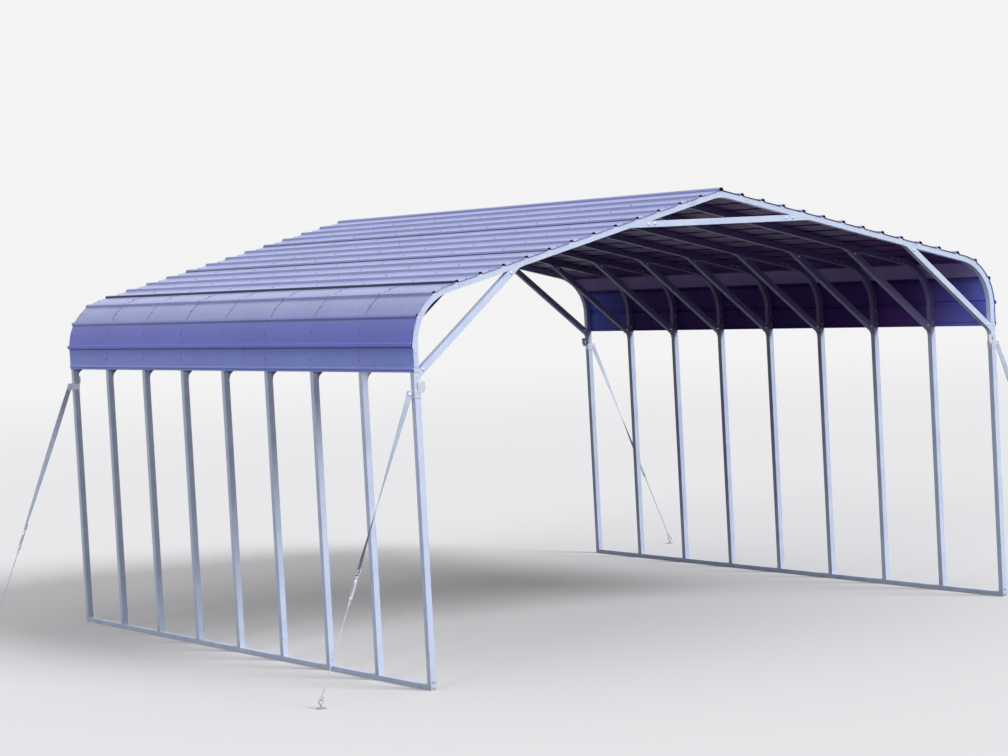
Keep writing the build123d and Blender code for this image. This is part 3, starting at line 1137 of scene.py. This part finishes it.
@dataclass
class RoofSheets:
    """Ribbed sheets, corner sheets and ridge cap, with their screws and the dark seal strips in their laps,
    which are partly painted shade.
    """

    line: RoofLine
    hardware: Hardware
    cap_reach: float = 0.160
    # Dark seal strips that are partly painted shade: on the eave rib the strip covers most of the shaded
    # flank, and at the roof sheets' laps it draws a thin shadow line.
    eave_seal_and_shade: float = 0.85
    lap_seal_and_shade: float = 0.25
    panel_seal: float = 0.006
    panel_seal_step: float = 0.03
    seal_height: float = 0.0016
    seal_past_frame: float = 0.008
    laps: tuple[int, ...] = (4, 8)

    def rib_seal_and_shade(self, rib: int, share: float) -> Shape:
        """Dark seal strip, partly painted shade, on the lower flank of a right-hand rib, over the edge of the
        sheet that ends there.

        Args:
            rib: Number of the rib from the ridge.
            share: How far up the flank the strip reaches.

        Returns:
            The strip.
        """
        line, thick = self.line, self.seal_height
        base, crest, height = line.rib
        lean = (base - crest) / 2
        flank = math.hypot(lean, height)
        inner = [(base / 2 - lean * a, height * a) for a in (0.0, share)]
        outer = [(x + thick * height / flank, z + thick * lean / flank) for x, z in inner]
        corners = [inner[0], inner[1], outer[1], outer[0], (outer[0][0] + thick, 0.0)]
        strip = bar(corners, line.ys[-1] + line.tube / 2 + self.seal_past_frame, axis=1)
        return strip.moved(line.at(rib * line.pitch, line.seat + line.sheet + line.lap, 0))

    def panel_path(self) -> list[Span]:
        """Outline of a corner sheet from its top edge over its first rib to the next.

        Returns:
            Distance along the roof line, and height above the sheet's flat, of each point.
        """
        line = self.line
        base, crest, height = line.rib
        middle = (line.ribs + 1) * line.pitch
        turns = [(middle - line.pitch + base / 2, 0.0),
                 (middle - base / 2, 0.0), (middle - crest / 2, height),
                 (middle + crest / 2, height), (middle + base / 2, 0.0),
                 (middle + line.pitch - base / 2, 0.0)]
        path = turns[:1]
        for (s0, h0), (s1, h1) in zip(turns, turns[1:]):
            count = max(1, math.ceil((s1 - s0) / self.panel_seal_step))
            path += [(s0 + (s1 - s0) * i / count, h0 + (h1 - h0) * i / count) for i in range(1, count + 1)]
        return path

    def panel_seals(self) -> Iterator[Shape]:
        """Flattened beads on the joints between the right-hand corner sheets.

        Yields:
            A bead on the flatter part of each joint.
        """
        line, half, high = self.line, self.panel_seal / 2, self.seal_height
        soft = high * 0.6
        section = [(-half, 0.0), (half, 0.0), (half - soft, high), (soft - half, high)]
        for number, y in enumerate(line.ys[1:-1], start=1):
            edge = y + line.panel_lap / 2 * (-1 if number % 2 else 1)
            spots = [line.at(s, line.seat + line.sheet + h, edge) for s, h in self.panel_path()]
            yield rings([np.array([tuple(spot @ Vector((0, a, z))) for a, z in section]) for spot in spots])

    def seals_and_shade(self) -> Iterator[Shape]:
        """All the dark seal strips on the right-hand side, which are partly painted shade.

        Yields:
            Strips along the ribs, and beads down the corner sheets' joints.
        """
        # Partly painted shade: the dark strip over most of the eave rib's flank.
        yield self.rib_seal_and_shade(self.line.ribs, self.eave_seal_and_shade)
        yield from self.panel_seals()
        yield from (self.rib_seal_and_shade(rib, self.lap_seal_and_shade) for rib in self.laps)

    def dress(self) -> None:
        """Give all the sheets their coating."""
        coating = SheetFinish(tuple(self.line.arc_centre)).material()
        for side in SIDES:
            for sheet in ("roof_sheet_upper", "roof_sheet_middle", "roof_sheet_lower", "corner_sheets"):
                dress(f"{sheet}_{side}", coating)
        dress("ridge_cap", coating)

    def screw_spots(self) -> Iterator[Matrix]:
        """Screws of the right-hand sheets.

        Yields:
            A placement in each pan at each frame, and one on the side of the cap.
        """
        line, single = self.line, self.line.seat + self.line.sheet
        for number, y in enumerate(line.ys):
            for k in range(1, line.last_rib + 1):
                lapped = k >= line.ribs and number > 0
                yield line.at((k + 0.5) * line.pitch, single + (line.lap if lapped else 0.0), y)
            yield line.at(self.cap_reach, single + line.lap, y)

    def build(self, rubber: bpy.types.Material, sealant_and_shade: bpy.types.Material) -> None:
        """Dress the nodes and add the screws and the dark seal strips.

        Args:
            rubber: Finish of the washers.
            sealant_and_shade: Finish of the seal strips, dark partly as painted shade.
        """
        self.dress()
        screw, washer = self.hardware.screw(self.hardware.washer_height), self.hardware.rubber()
        painted = FittingFinish("painted_screws", (0.58, 0.60, 0.80), (0.50, 0.53, 0.76), metallic=0.1)
        for name, shape, material in (("sheet_screws", screw, painted.material()),
                                      ("screw_washers", washer, rubber)):
            shapes = on_both_sides(shape.moved(spot) for spot in self.screw_spots())
            piece(name, shapes, material)
        piece("sheet_lap_seals_and_shade", on_both_sides(self.seals_and_shade()), sealant_and_shade)


@dataclass
class Guys:
    """The four guys: clamp, strap, turnbuckle, cable and anchor."""

    line: RoofLine
    hardware: Hardware
    drop: float = 0.164
    reach: float = 0.950
    lug: Point = (0.056, 0.006, 0.064)
    clamp_fit: float = 0.0003
    clamp_wall: float = 0.003
    anchor_height: float = 0.052
    strap_width: float = 0.045
    strap_thickness: float = 0.0025
    strap_length: float = 1.420
    strap_start: float = 0.024
    strap_flat: float = 0.090
    strap_facets: int = 8
    strap_steps: int = 120
    buckle_plate: float = 0.005
    buckle_end: float = 1.630
    cable_radius: float = 0.004
    cable_eye: float = 0.014
    anchor_eye: float = 0.018
    anchor_wire: float = 0.005
    link_gap: float = 0.0003
    strand_count: int = 6
    strand_sides: int = 6
    lay_length: float = 0.048
    lay_steps: int = 14
    eye_steps: int = 48
    eye_gap: float = 0.002
    body: Span = (1.450, 1.600)
    rod_radius: float = 0.006
    rod_reach: float = 0.042
    rod_start: float = 0.016
    rod_sides: int = 16
    thread_pitch: float = 0.00175
    thread_depth: float = 0.0007
    lock_nut: Span = (0.0108, 0.008)
    sleeve_radius: float = 0.0074
    sleeve_length: float = 0.024
    sleeve_back: Span = (0.002, 0.004)
    sleeve_sides: int = 20
    strap_bolts: tuple[float, ...] = (0.016, 0.040)
    stitch: Point = (0.0042, 0.0011, 0.0006)
    stitch_step: float = 0.0056
    stitch_box: Span = (0.034, 0.046)
    stitch_from: Span = (0.026, 0.018)

    @property
    def top(self) -> Vector:
        """Upper end of the front right-hand guy.

        Returns:
            The middle of the lug's hole, in the strap's plane.
        """
        x = self.line.half_width + self.clamp_fit + self.clamp_wall + self.lug[0] / 2
        y = self.line.ys[0] - (self.lug[1] + self.strap_thickness) / 2
        return Vector((x, y, self.line.eave - self.drop))

    @property
    def foot(self) -> Vector:
        """Middle of the anchor's eye."""
        return Vector((self.line.half_width + self.reach, self.top.y, self.anchor_height))

    @property
    def length(self) -> float:
        """From the lug's hole to the anchor's eye."""
        return (self.foot - self.top).length

    @property
    def eye_at(self) -> float:
        """Distance down the guy to the middle of the cable's eye."""
        link_at = self.length - self.anchor_eye + self.anchor_wire + self.link_gap + self.cable_radius
        return link_at - self.cable_eye

    @property
    def aside(self) -> float:
        """How far the strap's middle plane stands from the guy's axis."""
        return (self.strap_thickness + self.buckle_plate) / 2

    def copied(self, shapes: Iterable[Shape]) -> Iterator[Shape]:
        """Put the shapes of one guy at all four.

        Args:
            shapes: Shapes made with Z down the guy's axis and X along the ridge.

        Yields:
            Their copies at each guy in turn.
        """
        one, down = list(shapes), self.foot - self.top
        base = place_at(self.top, down, down.cross(Vector((0, 1, 0))))
        for end in (1, -1):
            for side in SIDES.values():
                yield from (shape.moved(mirror(side, end) @ base) for shape in one)

    def strap_section(self, z: float) -> tuple[np.ndarray, np.ndarray]:
        """Section of the strap at a distance down the guy, with its place in the weave.

        Args:
            z: Distance down the guy.

        Returns:
            The section's points, and for each the place across and along the cloth and the face, 1 or -1.
        """
        start, end = self.strap_flat - self.strap_start, self.strap_length - self.strap_flat
        turn = math.pi / 2 * min(max((z - start) / (end - start), 0.0), 1.0)
        half, thick = self.strap_width / 2, self.strap_thickness / 2
        rim = thick * 0.8
        outline = [(half * (2 * i / self.strap_facets - 1), thick) for i in range(1, self.strap_facets)]
        outline = [(-half + rim, thick)] + outline + [(half - rim, thick), (half, 0.0)]
        outline += [(u, -thick) for u, _ in reversed(outline[:-1])] + [(-half, 0.0)]
        points = [(v * math.cos(turn) - u * math.sin(turn),
                   u * math.cos(turn) + v * math.sin(turn) + self.aside, z) for u, v in outline]
        cloth = [(u, z, v / thick) for u, v in outline]
        return np.array(points)[::-1], np.array(cloth)[::-1]

    def straps(self, finish: WebbingFinish) -> None:
        """Woven straps with a smooth quarter turn.

        Args:
            finish: Their webbing, which names the attribute that holds the place in the weave.
        """
        full = self.strap_length + self.strap_start
        sections = [self.strap_section(-self.strap_start + full * i / self.strap_steps)
                    for i in range(self.strap_steps + 1)]
        shapes = list(self.copied([rings([points for points, _ in sections])]))
        obj = piece("woven_straps", shapes, finish.material(), sharp=60.0)
        cloth = np.vstack([place for _, place in sections] * len(shapes))
        weave = obj.data.attributes.new(finish.attribute, "FLOAT_VECTOR", "POINT")
        weave.data.foreach_set("vector", cloth.astype(np.float32).ravel())
        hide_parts("guy_straps")

    def cable(self) -> Iterator[Shape]:
        """Stranded cable of one guy, with its eye.

        Yields:
            The core, and each strand along the cable and round the eye.
        """
        start, end = self.buckle_end, self.eye_at - self.cable_eye - self.eye_gap
        strand, up = self.cable_radius / 3, Vector((1, 0, 0))
        steps = int((end - start) / self.lay_length * self.lay_steps)
        yield lathe([(strand * 1.1, start), (strand * 1.1, end)], self.strand_sides)
        for share in (number / self.strand_count for number in range(self.strand_count)):
            path = []
            for i in range(steps + 1):
                turn = 2 * math.pi * (i / self.lay_steps + share)
                path.append(Vector((2 * strand * math.cos(turn), 2 * strand * math.sin(turn),
                                    start + (end - start) * i / steps)))
            yield swept(path, strand, self.strand_sides, up)
            path = []
            for i in range(self.eye_steps):
                around = 2 * math.pi * i / self.eye_steps
                turn = 2 * math.pi * (2 * i / self.eye_steps + share)
                radius = self.cable_eye + 2 * strand * math.cos(turn)
                path.append(Vector((2 * strand * math.sin(turn), radius * math.sin(around),
                                    self.eye_at + radius * math.cos(around))))
            yield swept(path, strand, self.strand_sides, up, closed=True)

    def cables(self, material: bpy.types.Material) -> None:
        """Cables of all guys."""
        obj = piece("stranded_cables", self.copied(self.cable()), material, sharp=80.0)
        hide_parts("guy_cables")

    def bolts(self) -> Iterator[Shape]:
        """Bolts through the lug and through the strap's tail.

        Yields:
            The head of each bolt, and its nut.
        """
        head, nut = self.hardware.bolt_head(), self.hardware.nut()
        face = self.strap_thickness / 2
        yield head.moved(place_at((-face, 0, 0), (-1, 0, 0)))
        yield nut.moved(place_at((face + self.lug[1], 0, 0), (1, 0, 0)))
        for back in self.strap_bolts:
            z = self.strap_length - back
            yield head.moved(place_at((0, self.aside + face, z), (0, 1, 0), (1, 0, 0)))
            yield nut.moved(place_at((0, -self.buckle_plate / 2, z), (0, -1, 0), (1, 0, 0)))

    def threads(self) -> Iterator[Shape]:
        """Threads and lock nuts of the turnbuckle's two rods.

        Yields:
            A threaded length of each rod, and a lock nut outside each end of the open body.
        """
        start, end = self.body
        for low, high in ((start - self.rod_start, start + self.rod_reach),
                          (end - self.rod_reach, self.buckle_end)):
            profile = [(self.rod_radius, low)]
            for turn in range(int((high - low) / self.thread_pitch)):
                z = low + self.thread_pitch * (turn + 0.5)
                profile += [(self.rod_radius + self.thread_depth, z),
                            (self.rod_radius, z + self.thread_pitch / 2)]
            yield lathe(profile, self.rod_sides)
        radius, height = self.lock_nut
        yield from (self.hardware.hexagon(radius, foot, height) for foot in (start - height, end))

    def sleeves(self) -> Iterator[Shape]:
        """Pressed sleeves at the two ends of the cable.

        Yields:
            The two sleeves, each with three grooves.
        """
        radius, (above, below) = self.sleeve_radius, self.sleeve_back
        groove, end, step = radius * 0.82, radius * 0.8, self.sleeve_length / 8
        for foot in (self.buckle_end - above, self.eye_at - self.cable_eye - self.sleeve_length - below):
            profile = [(end, foot), (radius, foot + step * 0.5)]
            for number in range(3):
                middle = foot + step * (2 + 2 * number)
                profile += [(radius, middle - step * 0.6), (groove, middle - step * 0.2),
                            (groove, middle + step * 0.2), (radius, middle + step * 0.6)]
            profile += [(radius, foot + step * 7.5), (end, foot + step * 8)]
            yield lathe(profile, self.sleeve_sides)

    def stitches(self) -> Iterator[Shape]:
        """Stitched box with a cross in it, near each end of the strap.

        Yields:
            Each stitch.
        """
        long, wide, high = self.stitch
        one = bar([(-wide / 2, 0.0), (wide / 2, 0.0), (wide / 4, high), (-wide / 4, high)], long / 2)
        across, along = self.stitch_box
        corners = [(-across / 2, 0.0), (across / 2, 0.0), (across / 2, along), (-across / 2, along)]
        runs = list(zip(corners, corners[1:] + corners[:1]))
        runs += [(corners[0], corners[2]), (corners[1], corners[3])]
        face, (head, back) = self.strap_thickness / 2, self.stitch_from
        tail = self.strap_length - self.strap_flat - back
        for end in (place_at((-face, self.aside, head), (-1, 0, 0), (0, 0, 1)),
                    place_at((0, self.aside + face, tail), (0, 1, 0), (0, 0, 1))):
            for (x0, y0), (x1, y1) in runs:
                length, turn = math.hypot(x1 - x0, y1 - y0), math.atan2(y1 - y0, x1 - x0)
                count = int(length / self.stitch_step)
                for share in ((i + 0.5) / count for i in range(count)):
                    spot = Matrix.Translation((x0 + (x1 - x0) * share, y0 + (y1 - y0) * share, 0))
                    yield one.moved(end @ spot @ Matrix.Rotation(turn, 4, "Z"))

    def build(self, metal: bpy.types.Material) -> None:
        """Dress the nodes and add straps, cables and their small parts.

        Args:
            metal: Finish of the fittings.
        """
        for node in ("guy_clamps", "turnbuckles", "ground_anchors"):
            dress(node, metal)
        self.straps(WebbingFinish())
        self.cables(FittingFinish("wire_cable", (0.80, 0.84, 0.88), edge_radius=0.0003).material())
        piece("guy_bolts", self.copied(self.bolts()), metal)
        piece("rod_threads", self.copied(self.threads()), metal, sharp=60.0)
        piece("cable_sleeves", self.copied(self.sleeves()), metal)
        thread = FittingFinish("strap_thread", (0.88, 0.90, 0.95), (0.78, 0.81, 0.90), metallic=0.0)
        piece("strap_stitches", self.copied(self.stitches()), thread.material())


# Studio


@dataclass(frozen=True)
class Camera:
    """Place and aim of the camera."""

    location: Point = (-13.171, -19.148, 3.187)
    yaw: float = 55.81
    pitch: float = -2.57
    roll: float = -3.07
    lens: float = 90.44
    sensor: float = 36.0
    clip_end: float = 500.0

    def build(self) -> None:
        """Add the camera, and make it the scene's."""
        yaw, pitch, roll = (math.radians(a) for a in (self.yaw, self.pitch, self.roll))
        ahead = Vector((math.cos(pitch) * math.cos(yaw), math.cos(pitch) * math.sin(yaw), math.sin(pitch)))
        level = Vector((math.sin(yaw), -math.cos(yaw), 0))
        above = level.cross(ahead)
        right = level * math.cos(roll) + above * math.sin(roll)
        up = above * math.cos(roll) - level * math.sin(roll)
        data = bpy.data.cameras.new("camera")
        data.lens, data.sensor_width, data.sensor_fit = self.lens, self.sensor, "HORIZONTAL"
        data.clip_end = self.clip_end
        matrix = Matrix((right, up, -ahead)).transposed().to_4x4()
        matrix.translation = Vector(self.location)
        obj = show("camera", data)
        obj.matrix_world = matrix
        bpy.context.scene.camera = obj


@dataclass(frozen=True)
class Studio:
    """Pale floor, pale backdrop and soft light."""

    backdrop: float = 0.90
    floor: Colour = (0.81, 0.81, 0.82)
    floor_in_shade: Colour = (0.20, 0.19, 0.23)
    floor_radius: float = 120.0
    floor_thickness: float = 0.02
    floor_sides: int = 96
    fade: Span = (14.0, 60.0)
    horizon_strength: float = 0.06
    zenith_strength: float = 0.78
    zenith_from: float = 0.7
    key_strength: float = 2.8
    key_direction: Point = (-0.35, 0.85, -0.70)
    fill_strength: float = 0.72
    fill_direction: Point = (0.85, 0.40, -0.38)
    lamp_angle: float = 20.0

    def seen(self, g: Graph) -> Socket:
        """Mask of the rays that show the backdrop.

        Args:
            g: Node tree that it is for.

        Returns:
            1 for rays from the camera, and for mirrored ones and those let through.
        """
        path = g.add("LightPath").outputs
        seen = g.math("MAXIMUM", path["Is Camera Ray"], path["Is Glossy Ray"])
        return g.math("MAXIMUM", seen, path["Is Transmission Ray"])

    def world(self) -> None:
        """Soft light that is strongest from above, with a pale backdrop for the camera."""
        world = bpy.data.worlds.new("studio")
        world.use_nodes = True
        bpy.context.scene.world = world
        g = Graph(world.node_tree)
        height = g.part(g.add("TexCoord").outputs["Generated"], "Z")
        sky = g.ramp(height, 0.0, self.zenith_from, self.horizon_strength, self.zenith_strength)
        seen = self.seen(g)
        strength = g.weighed(seen, self.backdrop, g.times(g.math("SUBTRACT", 1.0, seen), sky))
        background = world.node_tree.nodes["Background"]
        g.put(background.inputs["Color"], WHITE)
        g.put(background.inputs["Strength"], strength)

    def lay_floor(self) -> None:
        """Round floor that fades into the backdrop, and throws little light back up under the roof."""
        rim = [(self.floor_radius, -self.floor_thickness), (self.floor_radius, 0.0)]
        disc = lathe(rim, self.floor_sides)
        mesh = bpy.data.meshes.new("floor")
        mesh.from_pydata(disc.points.tolist(), [], disc.faces)
        s = Surface("floor", Roughness=0.9, Specular_IOR_Level=0.1)
        flat = s.vector("MULTIPLY", s.place(), (1.0, 1.0, 0.0))
        away = s.add("VectorMath", {0: flat}, operation="LENGTH").outputs["Value"]
        seen = self.seen(s)
        s.put(s.shader.inputs["Base Color"], s.mix(seen, self.floor_in_shade, self.floor))
        glow = s.add("Emission", {"Color": WHITE, "Strength": self.backdrop}).outputs[0]
        fade = s.times(s.ramp(away, *self.fade), seen)
        both = s.add("MixShader", {0: fade, 1: s.shader.outputs[0], 2: glow}).outputs[0]
        s.put(s.tree.nodes["Material Output"].inputs["Surface"], both)
        mesh.materials.append(s.material)
        show("floor", mesh)

    def lamp(self, name: str, strength: float, direction: Point) -> None:
        """Add one soft lamp.

        Args:
            name: Name of the lamp.
            strength: Its strength.
            direction: Direction that it shines in.
        """
        data = bpy.data.lights.new(name, "SUN")
        data.energy = strength
        data.angle = math.radians(self.lamp_angle)
        show(name, data).rotation_euler = Vector(direction).to_track_quat("-Z", "Y").to_euler()

    def build(self) -> None:
        """Set up floor, backdrop and lamps."""
        self.world()
        self.lay_floor()
        self.lamp("key", self.key_strength, self.key_direction)
        self.lamp("fill", self.fill_strength, self.fill_direction)
        bpy.context.scene.view_settings.view_transform = "Standard"


def main() -> None:
    """Build everything in order."""
    logging.basicConfig(level=logging.INFO, format="%(name)s: %(message)s")
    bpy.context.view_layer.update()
    line, hardware = RoofLine.measured(), Hardware()
    metal = FittingFinish().material()
    Camera().build()
    BaseFrame(line, hardware).build(metal)
    RoofFrames(line, hardware).build(metal, DarkFinish("joint_line").material())
    # Dark colour of the seal strips, which partly stand in for shade at the laps.
    sealant_and_shade = DarkFinish("lap_sealant_and_shade", (0.17, 0.16, 0.30)).material()
    RoofSheets(line, hardware).build(DarkFinish("washer_rubber").material(), sealant_and_shade)
    Guys(line, hardware).build(metal)
    Studio().build()


if __name__ == "__main__":
    main()
